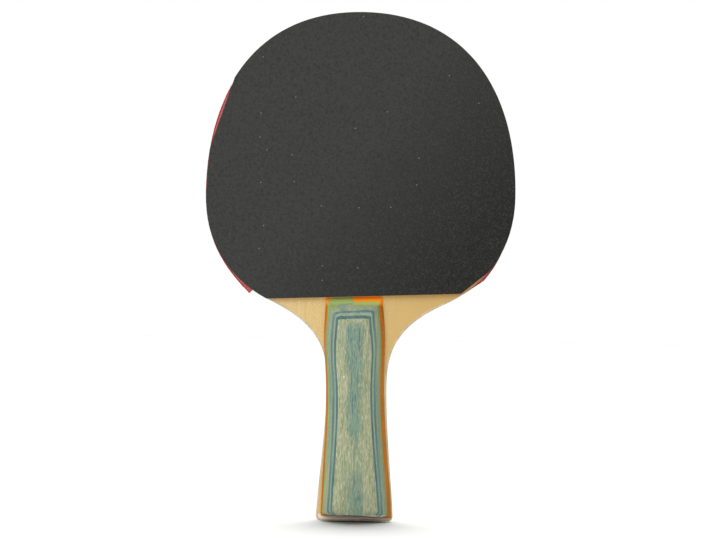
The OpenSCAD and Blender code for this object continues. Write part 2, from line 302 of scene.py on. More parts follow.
@dataclass(frozen=True)
class ThinnedVeneer(Finish):
    """Dyed veneer sanded nearly through, so the next layer's teal shows as a ragged streak down the
    middle of an olive face, broken up along the fibres."""

    olive: str = "#95987a"
    olive_dark: str = "#6f7f60"
    olive_pale: str = "#b6b592"
    teal: str = "#6d8777"
    teal_dark: str = "#44645f"
    cover: float = 0.0
    nicks: tuple[Nick, ...] = ()
    # the streak's middle line leans: its X at the lower and the upper of these heights
    line_z: tuple[float, float] = (8 * MM, 92 * MM)
    line_x: tuple[float, float] = (0.9 * MM, -1.5 * MM)
    # its half width below and above the heights where it widens
    widening_z: tuple[float, float] = (70 * MM, 88 * MM)
    half_widths: tuple[float, float] = (3.0 * MM, 4.6 * MM)
    # the heights between which it grows strong, comes back near the end, and stops at the ramp
    upper_z: tuple[float, float] = (28 * MM, 54 * MM)
    lower_z: tuple[float, float] = (30 * MM, 14 * MM)
    tip_z: tuple[float, float] = (97 * MM, 92 * MM)
    strength: float = 0.8
    least: float = 0.35
    # how much patches and fibres break it up, and the sum at which teal begins and is full
    patch_gain: float = 2.0
    fibre_gain: float = 1.8
    threshold: tuple[float, float] = (2.08, 2.62)
    # a dent is longer along the fibres than it is wide
    dent_squash: float = 0.6
    roughness: float = 0.6
    specular: float = 0.3

    def paint(self, tree: Tree, place: Socket) -> Paint:
        """Mixes the olive and the teal wood by a streaky mask that is strongest in the middle.

        Args:
            tree: The material's node tree.
            place: The point being shaded.

        Returns:
            What goes into the shader's sockets, by socket name.
        """
        fibres = self.pattern(tree, place, (0.5 * MM, 0.5 * MM, 9 * MM), 3.0, 4.0)
        fine = self.pattern(tree, place, (0.35 * MM, 0.35 * MM, 2.5 * MM), 31.0, 2.0)
        patches = self.pattern(tree, place, (1.7 * MM, 1.7 * MM, 24 * MM), 47.0, 3.0)
        apart = add(tree, "SeparateXYZ", {0: place})
        x, z = apart.outputs[0], apart.outputs[2]
        centre, half = (
            add(tree, "MapRange", {0: z, 1: heights[0], 2: heights[1], 3: values[0], 4: values[1]})
            for heights, values in ((self.line_z, self.line_x), (self.widening_z, self.half_widths)))
        across = add(tree, "Math", {0: x, 1: centre.outputs[0]}, operation="SUBTRACT")
        across = add(tree, "Math", {0: across.outputs[0]}, operation="ABSOLUTE")
        share = add(tree, "Math", {0: across.outputs[0], 1: half.outputs[0]}, operation="DIVIDE")
        middle = add(tree, "MapRange", {0: share.outputs[0], 1: 0.35, 2: 1.5, 3: self.strength, 4: 0.0},
                     interpolation_type="SMOOTHSTEP")
        upper = add(tree, "MapRange", {0: z, 1: self.upper_z[0], 2: self.upper_z[1]},
                    interpolation_type="SMOOTHSTEP")
        lower = add(tree, "MapRange", {0: z, 1: self.lower_z[0], 2: self.lower_z[1], 4: self.strength},
                    interpolation_type="SMOOTHSTEP")
        strong = add(tree, "Math", {0: upper.outputs[0], 1: lower.outputs[0]}, operation="MAXIMUM")
        strong = add(tree, "MapRange", {0: strong.outputs[0], 3: self.least})
        tip = add(tree, "MapRange", {0: z, 1: self.tip_z[0], 2: self.tip_z[1]})
        strong = add(tree, "Math", {0: strong.outputs[0], 1: tip.outputs[0]}, operation="MULTIPLY")
        mask = add(tree, "Math", {0: middle.outputs[0], 1: strong.outputs[0]}, operation="MULTIPLY")
        for part, gain in ((patches, self.patch_gain), (fibres, self.fibre_gain)):
            mask = add(tree, "Math", {0: part, 1: gain, 2: mask.outputs[0]}, operation="MULTIPLY_ADD")
        begins, full = (value - self.cover for value in self.threshold)
        mask = add(tree, "MapRange", {0: mask.outputs[0], 1: begins, 2: full})
        dark = add(tree, "MapRange", {0: fibres, 1: 0.54, 2: 0.38, 4: 0.9}).outputs[0]
        light = add(tree, "MapRange", {0: fine, 1: 0.52, 2: 0.64, 4: 0.75}).outputs[0]
        olive = self.layered(tree, self.olive, [(dark, self.olive_dark), (light, self.olive_pale)])
        teal = self.layered(tree, self.teal, [(dark, self.teal_dark), (light, self.olive)])
        colour = add(tree, "Mix", {0: mask.outputs[0], 6: olive, 7: teal}, data_type="RGBA").outputs[2]
        layers = [(worn_end(tree, place, fibres), WORN)]
        squash = (1.0, 0.0, self.dent_squash)
        flat = add(tree, "VectorMath", {0: place, 1: squash}, operation="MULTIPLY")
        dent = None
        for nick in self.nicks:
            dented = (nick.x, 0.0, self.dent_squash * nick.z)
            away = add(tree, "VectorMath", {0: flat.outputs[0], 1: dented}, operation="DISTANCE")
            ragged = add(tree, "Math", {0: fine, 1: nick.radius, 2: away.outputs[1]},
                         operation="MULTIPLY_ADD")
            spot = add(tree, "MapRange", {0: ragged.outputs[0], 1: 1.5 * nick.radius, 2: nick.radius})
            layers.append((spot.outputs[0], nick.colour))
            dent = add(tree, "Math", {0: spot.outputs[0], 1: dent.outputs[0] if dent else 0.0},
                       operation="ADD")
        colour = self.layered(tree, colour, layers)
        height = fibres
        if dent:
            height = add(tree, "Math", {0: fibres, 1: dent.outputs[0]}, operation="SUBTRACT").outputs[0]
        rough = add(tree, "MapRange", {0: fibres, 1: 0.3, 2: 0.7, 3: self.roughness - 0.06,
                                       4: self.roughness + 0.1})
        bump = add(tree, "Bump", {"Strength": 0.4, "Distance": 0.05 * MM, "Height": height})
        return {"Base Color": colour, "Roughness": rough.outputs[0], "Normal": bump.outputs[0]}


@dataclass(frozen=True)
class RubberSheet(Finish):
    """Vulcanised rubber, pressed smooth and then used: a faint mottle, a fine pressed grain, a little dust
    and a few pits painted dark as painted shade. It is painted lighter toward the upper left as painted
    light, and darkest on the lower part of the +X side as painted shade."""

    base: str = "#2f2f2d"
    light: str = "#3a3a38"
    dark: str = "#232322"
    # painted shade: the darkest colour, on the lower part of the +X side
    painted_shade: str = "#141413"
    dust: str = "#7c6a66"
    dust_spacing: float = 15 * MM
    dust_radius: float = 0.36 * MM
    pit_shade_spacing: float = 9 * MM
    pit_shade_radius: float = 0.3 * MM
    marked_share: float = 0.7
    # painted light: where the sheet begins to turn lighter and where it is fully lighter, along the slant
    # toward the upper left; short of it, it keeps its dark painted-shade colour
    slant: tuple[float, float, float] = (-0.8, 0.0, 0.6)
    painted_light: tuple[float, float] = (36 * MM, 108 * MM)
    roughness: float = 0.72
    specular: float = 0.2
    ior: float = 1.52

    def paint(self, tree: Tree, place: Socket) -> Paint:
        """Paints light toward the upper left over a shaded colour, mottles it and scatters dust and pits.

        Args:
            tree: The material's node tree.
            place: The point being shaded.

        Returns:
            What goes into the shader's sockets, by socket name.
        """
        mottle = self.pattern(tree, place, (1.5 * MM,) * 3, 7.0, 3.0)
        # pressed grain is about 0.1 mm, and is drawn at 0.6 mm so that it shows
        grain = self.pattern(tree, place, (0.6 * MM,) * 3, 19.0, 2.0)
        dark = add(tree, "MapRange", {0: mottle, 1: 0.54, 2: 0.3, 4: 0.7})
        light = add(tree, "MapRange", {0: grain, 1: 0.48, 2: 0.7, 4: 0.6})
        # painted light: lighter toward the upper left, over the dark painted-shade colour
        toward = add(tree, "VectorMath", {0: place, 1: self.slant}, operation="DOT_PRODUCT")
        painted_light = add(tree, "MapRange", {0: toward.outputs[1], 1: self.painted_light[0], 2: self.painted_light[1]})
        layers = [(painted_light.outputs[0], self.base), (dark.outputs[0], self.dark),
                  (light.outputs[0], self.light)]
        apart = add(tree, "SeparateXYZ", {0: place})
        flat = add(tree, "CombineXYZ", {0: apart.outputs[0], 1: apart.outputs[2]}).outputs[0]
        marks = []
        scattered = ((self.dust_spacing, self.dust_radius), (self.pit_shade_spacing, self.pit_shade_radius))
        for spacing, radius in scattered:
            cells = add(tree, "TexVoronoi", {"Vector": flat, "Scale": 1 / spacing}, voronoi_dimensions="2D")
            near = add(tree, "MapRange", {0: cells.outputs["Distance"], 1: radius / spacing,
                                          2: 0.5 * radius / spacing})
            pick = add(tree, "SeparateColor", {0: cells.outputs["Color"]})
            chosen = add(tree, "Math", {0: pick.outputs[0], 1: self.marked_share}, operation="GREATER_THAN")
            mark = add(tree, "Math", {0: near.outputs[0], 1: chosen.outputs[0]}, operation="MULTIPLY")
            marks.append(mark.outputs[0])
        # the pits take the dark colour, as painted shade in them
        colour = self.layered(tree, self.painted_shade, [*layers, (marks[0], self.dust), (marks[1], self.dark)])
        height = add(tree, "Math", {0: grain, 1: marks[1]}, operation="SUBTRACT")
        rough = add(tree, "MapRange", {0: mottle, 1: 0.3, 2: 0.7, 3: self.roughness + 0.07,
                                       4: self.roughness - 0.07})
        bump = add(tree, "Bump", {"Strength": 0.25, "Distance": 0.03 * MM, "Height": height.outputs[0]})
        return {"Base Color": colour, "Roughness": rough.outputs[0], "Normal": bump.outputs[0]}


@dataclass(frozen=True)
class FoamSponge(Finish):
    """Open-cell rubber sponge cut with a blade: the cut cells show as small pits, painted dark as painted
    shade.
    """

    base: str = "#e3a04a"
    # painted shade of the cut cells; the cloudy tone leans toward it too
    pit_shade: str = "#a8652a"
    cell: float = 0.45 * MM
    roughness: float = 0.9
    specular: float = 0.15

    def paint(self, tree: Tree, place: Socket) -> Paint:
        """Paints shade into the cut cells and sinks them.

        Args:
            tree: The material's node tree.
            place: The point being shaded.

        Returns:
            What goes into the shader's sockets, by socket name.
        """
        cells = add(tree, "TexVoronoi", {"Vector": place, "Scale": 1 / self.cell})
        # painted shade: the cut cells are darkened
        pit_shade = add(tree, "MapRange", {0: cells.outputs["Distance"], 1: 0.42, 2: 0.12, 4: 0.8})
        cloud = self.pattern(tree, place, (3 * MM,) * 3, 2.0, 3.0)
        tone = add(tree, "MapRange", {0: cloud, 1: 0.4, 2: 0.7, 4: 0.35})
        colour = self.layered(tree, self.base, [(tone.outputs[0], self.pit_shade), (pit_shade.outputs[0], self.pit_shade)])
        bump = add(tree, "Bump", {"Strength": 0.7, "Distance": 0.12 * MM,
                                  "Height": cells.outputs["Distance"]})
        return {"Base Color": colour, "Normal": bump.outputs[0]}


@dataclass(frozen=True)
class DriedGlue(Finish):
    """Water-based contact glue, brushed on and dried: a cream film, cloudy and slightly glossy."""

    base: str = "#e6dcc0"
    cloudy: str = "#cdbf9c"
    roughness: float = 0.4

    def paint(self, tree: Tree, place: Socket) -> Paint:
        """Clouds the film along the brush strokes.

        Args:
            tree: The material's node tree.
            place: The point being shaded.

        Returns:
            What goes into the shader's sockets, by socket name.
        """
        cloud = self.pattern(tree, place, (5 * MM, 1 * MM, 1.2 * MM), 9.0, 4.0)
        tone = add(tree, "MapRange", {0: cloud, 1: 0.35, 2: 0.65})
        colour = self.layered(tree, self.base, [(tone.outputs[0], self.cloudy)])
        bump = add(tree, "Bump", {"Strength": 0.3, "Distance": 0.05 * MM, "Height": cloud})
        return {"Base Color": colour, "Normal": bump.outputs[0]}


@dataclass(frozen=True)
class StudioPaper(Finish):
    """Matte grey paper with a faint tooth. The overhead light makes it look white, so that it looks
    dark only where that light is held back."""

    base: str = "#636362"
    tooth: str = "#626261"
    roughness: float = 0.95
    specular: float = 0.1

    def paint(self, tree: Tree, place: Socket) -> Paint:
        """Gives the paper its tooth.

        Args:
            tree: The material's node tree.
            place: The point being shaded.

        Returns:
            What goes into the shader's sockets, by socket name.
        """
        tooth = self.pattern(tree, place, (2 * MM,) * 3, 0.0, 3.0)
        colour = self.layered(tree, self.base, [(tooth, self.tooth)])
        bump = add(tree, "Bump", {"Strength": 0.1, "Distance": 0.05 * MM, "Height": tooth})
        return {"Base Color": colour, "Normal": bump.outputs[0]}


# the face veneer is painted darker toward +X, as painted shade
FACE_VENEER = SandedVeneer("basswood_face_veneer", base="#caaf75", streak="#bb9b5e", pale="#d0bb8c",
                           fibre=(0.9 * MM, 26 * MM), contrast=0.4, pores=0.12, specks=0.35,
                           worn=True, drift=0.9)
SANDED_RIM = SandedVeneer("basswood_sanded_edge", base="#beab86", streak="#a3927a", pale="#cdbea5",
                          fibre=(0.5 * MM, 5 * MM), contrast=0.7, pores=0.3, specks=0.3, roughness=0.75)
CROSS_VENEER = SandedVeneer("poplar_cross_veneer", base="#b69965", streak="#997d4f", pale="#c7ae7e",
                            fibre=(0.3 * MM, 3 * MM), contrast=0.8, pores=0.3)
CORE_VENEER = SandedVeneer("ayous_core_veneer", base="#c4ab79", streak="#b1945e", pale="#d0be94",
                           fibre=(0.6 * MM, 18 * MM), contrast=0.6, pores=0.35)
DYED = {
    # painted light: the orange and the green veneer are brighter at their upper end
    "orange": SandedVeneer("orange_dyed_veneer", base="#a8650e", streak="#8a4d0e", pale="#b07828",
                           fibre=(0.5 * MM, 12 * MM), contrast=0.6, pores=0.2, specks=0.08,
                           painted_light_top="#f58a0c", specular=0.15),
    # painted shade: the green veneer is darker toward +X
    "green": SandedVeneer("green_dyed_veneer", base="#7f9355", streak="#7d7346", pale="#93a468",
                          fibre=(0.5 * MM, 12 * MM), contrast=0.5, pores=0.15, specks=0.12, drift=0.9,
                          painted_light_top="#93a85c"),
    "sage": SandedVeneer("sage_dyed_veneer", base="#798972", streak="#697d6b", pale="#949876",
                         fibre=(0.4 * MM, 14 * MM), contrast=0.85, pores=0.2, specks=0.12, worn=True),
    "lower_teal": SandedVeneer("lower_teal_dyed_veneer", base="#54716c", streak="#425f60", pale="#688378",
                               fibre=(0.4 * MM, 9 * MM), contrast=0.8, pores=0.3, specks=0.05),
    "mist": SandedVeneer("mist_dyed_veneer", base="#798e7a", streak="#688073", pale="#8d997d",
                         fibre=(0.4 * MM, 12 * MM), contrast=0.8, pores=0.2, specks=0.2, worn=True),
    "upper_teal": SandedVeneer("upper_teal_dyed_veneer", base="#476563", streak="#385456", pale="#5c766e",
                               fibre=(0.4 * MM, 9 * MM), contrast=0.8, pores=0.35, specks=0.05, worn=True),
}
NICKS = (Nick(-6.2 * MM, 70.0 * MM, 0.42 * MM, "#d8c8be"), Nick(-4.0 * MM, 44.6 * MM, 0.5 * MM, "#5c6f62"),
         Nick(-6.2 * MM, 44.4 * MM, 0.35 * MM, "#d89a4c"), Nick(-5.6 * MM, 42.2 * MM, 0.3 * MM, "#b07c48"),
         Nick(4.6 * MM, 18.5 * MM, 0.3 * MM, "#e6bf9c"))
DYED["crown"] = ThinnedVeneer("crown_dyed_veneer", nicks=NICKS)
DYED["ridge"] = ThinnedVeneer("ridge_dyed_veneer", cover=0.14, nicks=NICKS[1:2])
BLACK = RubberSheet("black_rubber_sheet")
RED = RubberSheet("red_rubber_sheet", painted_shade="#9a2024", base="#992025", light="#a72e30", dark="#7e181e",
                  dust="#b8706a", roughness=0.6)
FRONT_FOAM = FoamSponge("orange_sponge")
BACK_FOAM = FoamSponge("pink_sponge", base="#c2524c", pit_shade="#96302e")
GLUE = DriedGlue("contact_glue")
# the film is thin enough for the sponge behind it to show through where it overhangs the blade
PINK_GLUE = DriedGlue("contact_glue_on_sponge", base="#9f3c39", cloudy="#b4625e")
PAPER = StudioPaper("background_paper")


# ---------------------------------------------------------------- meshes

Loop = np.ndarray  # rows of (x, z), anticlockwise seen from the forehand side


def outline_of(node: str, side: Side) -> Loop:
    """Reads the outline of a CAD node's outermost flat face.

    Args:
        node: The CAD node.
        side: The side that the face looks to.

    Returns:
        The corner points of the outline, anticlockwise in X and Z.
    """
    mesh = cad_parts[node].data
    faces = [p for p in mesh.polygons if p.normal.y * side.value > 0.99]
    depth = max(p.center.y * side.value for p in faces)
    edges = set()
    for face in (p for p in faces if p.center.y * side.value > depth - 0.01 * MM):
        ring = [(round(mesh.vertices[v].co.x, 6), round(mesh.vertices[v].co.z, 6)) for v in face.vertices]
        for edge in zip(ring, ring[1:] + ring[:1]):
            if edge[::-1] in edges:
                edges.remove(edge[::-1])
            else:
                edges.add(edge)
    follows = dict(edges)
    start = min(follows)
    loop = [start]
    while follows[loop[-1]] != start:
        loop.append(follows[loop[-1]])
    points = np.array(loop)
    after = np.roll(points, -1, axis=0)
    area = np.sum(points[:, 0] * after[:, 1] - after[:, 0] * points[:, 1])
    return points if area > 0 else points[::-1]


def spread(loop: Loop, step: float) -> Loop:
    """Adds points to a closed outline so that no two neighbours are further apart than step.

    Args:
        loop: The outline.
        step: The largest distance between two neighbours.

    Returns:
        The outline with more points.
    """
    out = []
    for here, there in zip(loop, np.roll(loop, -1, axis=0)):
        parts = max(1, math.ceil(np.linalg.norm(there - here) / step))
        out.extend(here + (there - here) * i / parts for i in range(parts))
    return np.array(out)


def inward(loop: Loop) -> Loop:
    """The way into a closed outline at each point, longer at a corner so that both sides move alike.

    Args:
        loop: The outline, anticlockwise.

    Returns:
        A direction for each point.
    """
    along = np.roll(loop, -1, axis=0) - loop
    along /= np.linalg.norm(along, axis=1)[:, None]
    normal = np.stack([-along[:, 1], along[:, 0]], axis=1)
    both = normal + np.roll(normal, 1, axis=0)
    both /= np.linalg.norm(both, axis=1)[:, None]
    return both / np.maximum(0.6, np.sum(both * normal, axis=1))[:, None]


def inside(points: np.ndarray, loop: Loop) -> np.ndarray:
    """Says which points lie inside a closed outline.

    Args:
        points: The points to test, as rows of (x, z).
        loop: The outline.

    Returns:
        True for each point that lies inside.
    """
    after = np.roll(loop, -1, axis=0)
    x, z = points[:, :1], points[:, 1:]
    crosses = (loop[:, 1] > z) != (after[:, 1] > z)
    span = after[:, 1] - loop[:, 1]
    rise = (z - loop[:, 1]) / np.where(span == 0, 1.0, span)
    left = x < loop[:, 0] + rise * (after[:, 0] - loop[:, 0])
    return np.sum(crosses & left, axis=1) % 2 == 1


def rough(x: float, y: float, z: float, size: float) -> float:
    """Repeatable smooth noise, from about -1 to 1, whose bumps are size across."""
    return noise.noise(Vector((x, y, z)) / size)


@dataclass
class Solid:
    """A closed mesh, gathered from stacked rings of points."""

    points: list = field(default_factory=list)
    faces: list = field(default_factory=list)
    marks: list = field(default_factory=list)
    sharp: list = field(default_factory=list)

    def stack(
        self, rings: list[np.ndarray], mark_of: dict[int, int] | None = None, creases: tuple = ()
    ) -> "Solid":
        """Adds a solid between a first and a last ring, closed at both.

        Args:
            rings: Rings of as many (x, y, z) points each.
            mark_of: The material number of a wall, by the number of the ring that it starts from.
            creases: The numbers of the rings that are kept sharp.

        Returns:
            This mesh, so that it can be built at once.
        """
        first, count = len(self.points), len(rings[0])
        for ring in rings:
            self.points.extend(map(tuple, ring))
        for k in range(len(rings) - 1):
            low = first + k * count
            for i in range(count):
                j = (i + 1) % count
                self.faces.append((low + i, low + j, low + count + j, low + count + i))
                self.marks.append((mark_of or {}).get(k, 0))
        for k, ring in ((0, rings[0]), (len(rings) - 1, rings[-1])):
            flat = [Vector((p[0], p[2], 0.0)) for p in ring]
            for triangle in tessellate_polygon([flat]):
                self.faces.append(tuple(first + k * count + i for i in triangle))
                self.marks.append(0)
        for k in creases:
            base = first + (k % len(rings)) * count
            self.sharp.extend((base + i, base + (i + 1) % count) for i in range(count))
        return self

    def build(
        self, name: str, finishes: list[Finish], slot: str, node: str, crease: float
    ) -> bpy.types.Object:
        """Makes the Blender piece, which rides on the paddle and stands for a CAD node.

        Args:
            name: The piece's name.
            finishes: Its finishes, by material number.
            slot: The record's material slot; not used.
            node: The CAD node that it stands for.
            crease: Edges that turn by more than this angle, in degrees, are sharp.

        Returns:
            The piece.
        """
        mesh = bpy.data.meshes.new(name)
        mesh.from_pydata(self.points, [], self.faces)
        for finish in finishes:
            mesh.materials.append(finish.material())
        mesh.polygons.foreach_set("material_index", self.marks)
        work = bmesh.new()
        work.from_mesh(mesh)
        bmesh.ops.recalc_face_normals(work, faces=work.faces)
        work.to_mesh(mesh)
        work.free()
        mesh.polygons.foreach_set("use_smooth", [True] * len(mesh.polygons))
        mesh.set_sharp_from_angle(angle=math.radians(crease))
        if self.sharp:
            wanted = {tuple(sorted(pair)) for pair in self.sharp}
            for edge in mesh.edges:
                if tuple(sorted(edge.vertices)) in wanted:
                    edge.use_edge_sharp = True
        piece = bpy.data.objects.new(name, mesh)
        bpy.context.scene.collection.objects.link(piece)
        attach(piece, ROOT)
        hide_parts(node)
        LOG.info("%s: %d points, %d faces", name, len(mesh.vertices), len(mesh.polygons))
        return piece


def ring_at(loop: Loop, depth: float | np.ndarray) -> np.ndarray:
    """Puts an outline at a depth along Y."""
    return np.stack([loop[:, 0], np.broadcast_to(depth, len(loop)), loop[:, 1]], axis=1)


def depths(node: str, side: Side) -> tuple[float, float]:
    """The inner and the outer Y of a CAD node that lies on one side of the blade."""
    low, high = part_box(node)
    return (high.y, low.y) if side is Side.FOREHAND else (low.y, high.y)


# ---------------------------------------------------------------- the blade


@dataclass
class Blade:
    """Five plies with their grain crossed. The edge of the neck is sanded round for the hand."""

    step: float = 0.6 * MM
    round_in: float = 1.1 * MM
    round_deep: float = 0.65 * MM
    round_steps: int = 5
    least_round: float = 0.06 * MM
    rubber_z: float = 111 * MM
    fade: float = 9 * MM
    flat_rim: float = 0.1 * MM
    unevenness: float = 0.035 * MM
    # sizes of the waves in the rounding, in the sanded outline and in the cut edge
    round_wave: float = 14 * MM
    dent_wave: float = 5 * MM
    fuzz_wave: float = 1.3 * MM
    crease: float = 40.0

    def rounding(self, loop: Loop) -> np.ndarray:
        """How round the edge is at each point, from 0 under the rubbers to 1 on the neck.

        Args:
            loop: The outline of a face ply.

        Returns:
            The roundness at each point.
        """
        share = np.clip((self.rubber_z - loop[:, 1]) / self.fade, 0, 1)
        wave = np.array([0.82 + 0.25 * rough(x, 0.0, z, self.round_wave) for x, z in loop])
        return share * share * (3 - 2 * share) * wave

    def build(self) -> None:
        """Builds the plies."""
        self.ply("blade_core_ply", CORE_VENEER, "core_veneer", None)
        for side in Side:
            self.ply(f"blade_{side.prefix}_cross_ply", CROSS_VENEER, "cross_veneer", side)
            self.face_ply(f"blade_{side.prefix}_face_ply", side)

    def edge(self, node: str, side: Side) -> tuple[Loop, Loop]:
        """A ply's outline and the direction into it, a little uneven from hand sanding.

        Args:
            node: The CAD node of the ply.
            side: The side that the outline is read from.

        Returns:
            The outline, and the direction into it at each point.
        """
        loop = spread(outline_of(node, side), self.step)
        into = inward(loop)
        dents = np.array([abs(rough(x, 0.003, z, self.dent_wave)) for x, z in loop])
        return loop + into * (dents * self.unevenness)[:, None], into

    def ply(self, node: str, finish: SandedVeneer, slot: str, side: Side | None) -> None:
        """Builds an inner ply, a flat sheet whose edge is slightly uneven.

        Args:
            node: The CAD node of the ply.
            finish: Its finish.
            slot: Its material slot in the record; not used.
            side: The side of the core that it lies on, or None for the core.
        """
        loop, into = self.edge(node, side or Side.FOREHAND)
        low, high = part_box(node)
        start, end = (low.y, high.y) if side is None else depths(node, side)
        rings = []
        for share in np.linspace(0, 1, 4):
            fuzz = np.array([0.5 + 0.5 * rough(x, share * 3 * MM, z, self.fuzz_wave) for x, z in loop])
            cut = loop + into * (fuzz * self.unevenness)[:, None]
            rings.append(ring_at(cut, start + (end - start) * share))
        name = node.replace("blade_", "") + "_sheet"
        Solid().stack(rings, creases=(0, -1)).build(name, [finish], slot, node, self.crease)

    def face_ply(self, node: str, side: Side) -> None:
        """Builds an outer ply, with its outer edge sanded round along the neck.

        Args:
            node: The CAD node of the ply.
            side: The side that it faces.
        """
        loop, into = self.edge(node, side)
        start, end = depths(node, side)
        round_off = self.rounding(loop)
        rings = [ring_at(loop, start)]
        for k in range(self.round_steps + 1):
            angle = math.pi / 2 * k / self.round_steps
            reach = self.least_round + round_off * self.round_in
            deep = self.least_round + round_off * self.round_deep
            depth = end - side.value * deep * (1 - math.sin(angle))
            rings.append(ring_at(loop + into * (reach * (1 - math.cos(angle)))[:, None], depth))
        rings.append(ring_at(loop + into * (reach + self.flat_rim)[:, None], end))
        solid = Solid().stack(rings, {k: 1 for k in range(1, self.round_steps + 1)}, (0,))
        finishes = [FACE_VENEER, SANDED_RIM]
        solid.build(f"{side.prefix}_face_ply_sheet", finishes, "face_veneer", node, self.crease)


# ---------------------------------------------------------------- the rubbers


@dataclass
class Rubber:
    """One face's rubber: a glue film, a sponge, and a top sheet whose pimples point inward."""

    side: Side
    sheet: RubberSheet
    foam: FoamSponge
    glue: DriedGlue
    slot: str
    scant: float = 0.0
    scant_z: tuple[float, float] = (166 * MM, 12 * MM)
    step: float = 0.5 * MM
    lip: float = 0.22 * MM
    lip_steps: int = 4
    flat_rim: float = 0.12 * MM
    film_crease: float = 40.0
    foam_crease: float = 80.0
    sheet_crease: float = 50.0
    cut_wave: float = 0.05 * MM
    cut_wave_l: float = 9 * MM
    glue_wave_l: float = 6 * MM
    cell_depth: float = 0.16 * MM
    cell_size: float = 0.55 * MM
    pimple_pitch: float = 2.1 * MM
    pimple_tip: float = 0.62 * MM
    pimple_root: float = 0.8 * MM
    pimple_sides: int = 12
    rim_band: float = 8 * MM

    def build(self) -> None:
        """Builds the three layers."""
        self.glue_film()
        self.sponge()
        self.top_sheet()

    def node(self, part: str) -> str:
        """The CAD node of one of this rubber's layers."""
        return f"{self.side.prefix}_{part}"

    def cut(self, node: str, step: float) -> tuple[Loop, Loop]:
        """A layer's outline and the direction into it, where the knife may have run scant on the left.

        Args:
            node: The layer's CAD node.
            step: The largest distance between two points.

        Returns:
            The outline, and the direction into it at each point.
        """
        loop = spread(outline_of(node, self.side), step)
        into = inward(loop)
        middle, reach = self.scant_z
        near = np.exp(-0.5 * ((loop[:, 1] - middle) / reach) ** 2) * (loop[:, 0] < 0)
        return loop + into * (self.scant * near)[:, None], into

    def glue_film(self) -> None:
        """Builds the glue film, with an edge that wanders where the brush stopped."""
        node = self.node("glue_film")
        loop, into = self.cut(node, self.step)
        start, end = depths(node, self.side)
        wander = np.array([0.1 + 0.1 * rough(x, 0.0, z, self.glue_wave_l) for x, z in loop]) * MM
        rings = [ring_at(loop + into * wander[:, None], y) for y in (start, end)]
        solid = Solid().stack(rings, creases=(0, -1))
        solid.build(self.side.prefix + "_glue_layer", [self.glue], "glue", node, self.film_crease)

    def sponge(self) -> None:
        """Builds the sponge, whose cut edge is pitted by open cells."""
        node = self.node("sponge")
        loop, into = self.cut(node, 0.8 * self.step)
        start, end = depths(node, self.side)
        rings = []
        for share in np.linspace(0, 1, 8):
            y = start + (end - start) * share
            cells = np.array([max(0.0, rough(x, y, z, self.cell_size)) for x, z in loop])
            rings.append(ring_at(loop + into * (cells * self.cell_depth)[:, None], y))
        solid = Solid().stack(rings, creases=(0, -1))
        piece = solid.build(node + "_layer", [self.foam], node, node, self.foam_crease)

    def top_sheet(self) -> None:
        """Builds the skin with its softened lip, and the pimples that show at its cut edge."""
        node = self.node("top_sheet")
        loop, into = self.cut(node, self.step)
        start, end = depths(node, self.side)
        levels = sorted({round(abs(v.co.y), 6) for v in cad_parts[node].data.vertices})
        thickness = levels[-1] - levels[-2]
        inner = end - self.side.value * thickness
        wave = np.array([0.5 + 0.5 * rough(x, 0.0, z, self.cut_wave_l) for x, z in loop])
        edge = loop + into * (wave * self.cut_wave)[:, None]
        halfway = inner + self.side.value * (thickness - self.lip) * 0.5
        rings = [ring_at(edge, inner), ring_at(edge, halfway)]
        for k in range(self.lip_steps + 1):
            angle = math.pi / 2 * k / self.lip_steps
            rings.append(ring_at(edge + into * self.lip * (1 - math.cos(angle)),
                                 end - self.side.value * self.lip * (1 - math.sin(angle))))
        rings.append(ring_at(edge + into * (self.lip + self.flat_rim), end))
        solid = Solid().stack(rings, creases=(0,))
        for centre in self.rim_pimples(edge):
            solid.stack(self.pimple(centre, edge, inner, start), creases=(0, -1))
        name = self.side.prefix + "_rubber_top_sheet"
        solid.build(name, [self.sheet], self.slot, node, self.sheet_crease)

    def rim_pimples(self, edge: Loop) -> np.ndarray:
        """Centres of the pimples within the rim band, in staggered rows at the real spacing.

        Args:
            edge: The cut edge of the sheet.

        Returns:
            The centres, as rows of (x, z).
        """
        low, high = edge.min(0), edge.max(0)
        row = self.pimple_pitch * math.sqrt(3) / 2
        spots = [(low[0] + (i + (j % 2) / 2) * self.pimple_pitch, low[1] + j * row)
                 for j in range(math.ceil((high[1] - low[1]) / row) + 1)
                 for i in range(math.ceil((high[0] - low[0]) / self.pimple_pitch) + 1)]
        spots = np.array(spots)
        spots = spots[inside(spots, edge)]
        away = np.array([np.min(np.hypot(edge[:, 0] - x, edge[:, 1] - z)) for x, z in spots])
        return spots[(away < self.rim_band) & (away > 0.3 * self.pimple_root)]

    def pimple(self, centre: np.ndarray, edge: Loop, root: float, tip: float) -> list[np.ndarray]:
        """Rings of one tapered pimple, cut off where it reaches the edge of the sheet.

        Args:
            centre: Its centre.
            edge: The cut edge of the sheet.
            root: Y of its root.
            tip: Y of its tip.

        Returns:
            The ring at the root and the ring at the tip.
        """
        turns = np.linspace(0, 2 * math.pi, self.pimple_sides, endpoint=False)
        rings = []
        for radius, y in ((self.pimple_root, root), (self.pimple_tip, tip)):
            ring = centre + radius * np.stack([np.cos(turns), np.sin(turns)], axis=1)
            outside = ~inside(ring, edge)
            for i in np.nonzero(outside)[0]:
                ring[i] = edge[np.argmin(np.hypot(*(edge - ring[i]).T))]
            rings.append(ring_at(ring, y))
        return rings


# ---------------------------------------------------------------- the handle

# how much higher, in mm, each joint of the forehand scale lies in the ramp than along the sides
RAMP_SHIFTS = (0.0, -0.9, 0.15, 0.0, 0.0, 0.3, 0.45, 0.0, 0.0)
# the same for its lower end, where more of the orange veneer shows
END_SHIFTS = (0.0, 2.0, 1.5, 0.5, 0.4, 0.3, 0.2, 0.0, 0.0)
LAYERS = ("orange", "green", "sage", "lower_teal", "mist", "upper_teal", "crown", "ridge")


